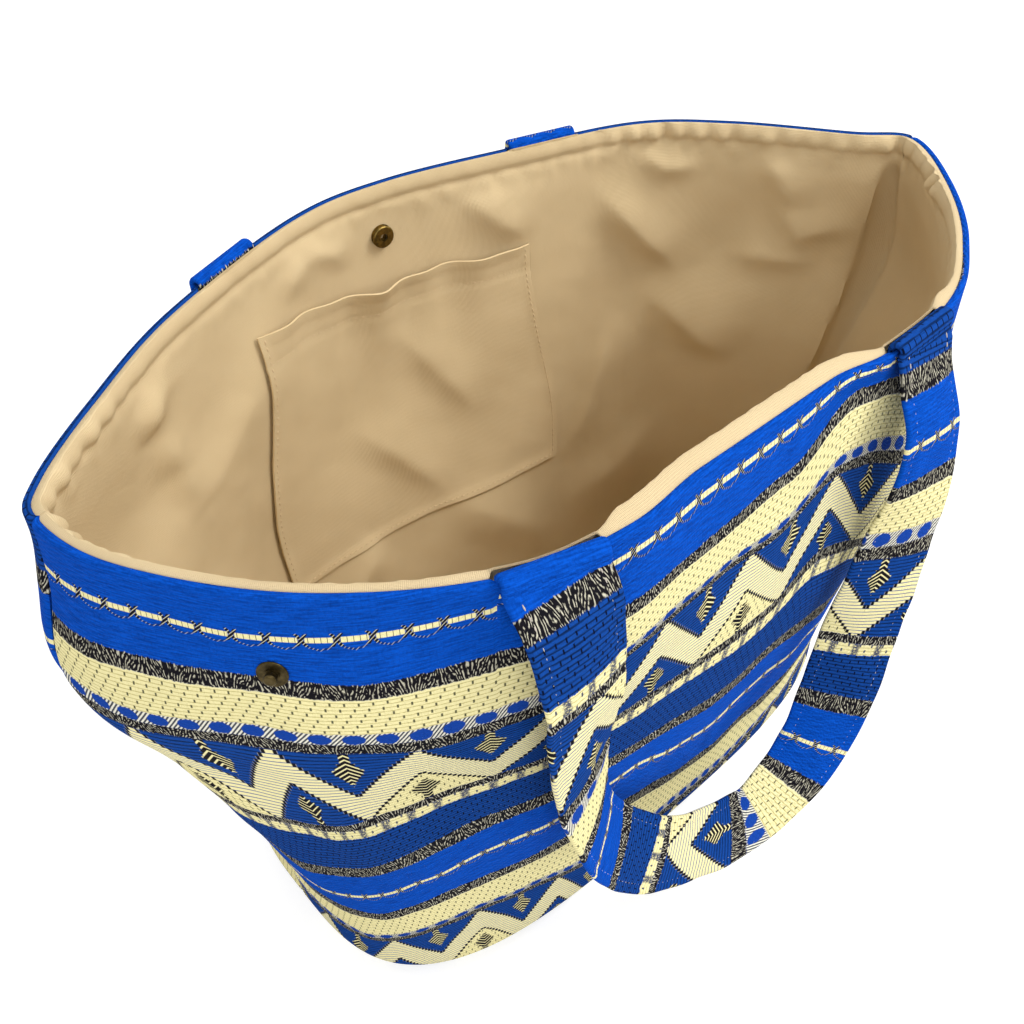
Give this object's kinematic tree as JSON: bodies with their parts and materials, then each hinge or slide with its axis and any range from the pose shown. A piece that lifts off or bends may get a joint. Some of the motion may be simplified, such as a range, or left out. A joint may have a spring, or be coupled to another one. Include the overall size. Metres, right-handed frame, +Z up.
{
  "type": "tote bag",
  "caption": "Soft lined tote bag standing open: woven striped walls, cotton lining with a patch pocket, hanging shoulder straps sewn into the rim, and brass press snaps.",
  "frame": {"origin": "centre of the base, on the surface that the bag stands on", "axes": "+X along the mouth towards the right-hand seam, -Y the front panel, +Z up"},
  "size_m": [0.5157, 0.3479, 0.3421],
  "materials": {
    "woven_cloth": "heavy ribbed weave in blue, cream and black stripes",
    "strap_cloth": "same striped weave, folded and stitched flat",
    "lining_cotton": "smooth beige cotton, soft sheen",
    "snap_brass": "aged brass, lightly worn",
    "spring_wire": "bright wire"
  },
  "bodies": {
    "root": {"outer_front": "woven_cloth", "outer_back": "woven_cloth", "lining_front": "lining_cotton", "lining_back": "lining_cotton", "lining_pocket": "lining_cotton", "strap_front": "strap_cloth", "strap_back": "strap_cloth", "centre_socket": "snap_brass", "centre_socket_spring": "spring_wire", "centre_socket_rivet": "snap_brass", "centre_stud": "snap_brass", "centre_stud_rivet": "snap_brass", "left_stud": "snap_brass", "left_stud_rivet": "snap_brass", "left_socket": "snap_brass", "left_socket_spring": "spring_wire", "left_socket_rivet": "snap_brass", "right_stud": "snap_brass", "right_stud_rivet": "snap_brass", "right_socket": "snap_brass", "right_socket_spring": "spring_wire", "right_socket_rivet": "snap_brass"}
  },
  "joints": []
}
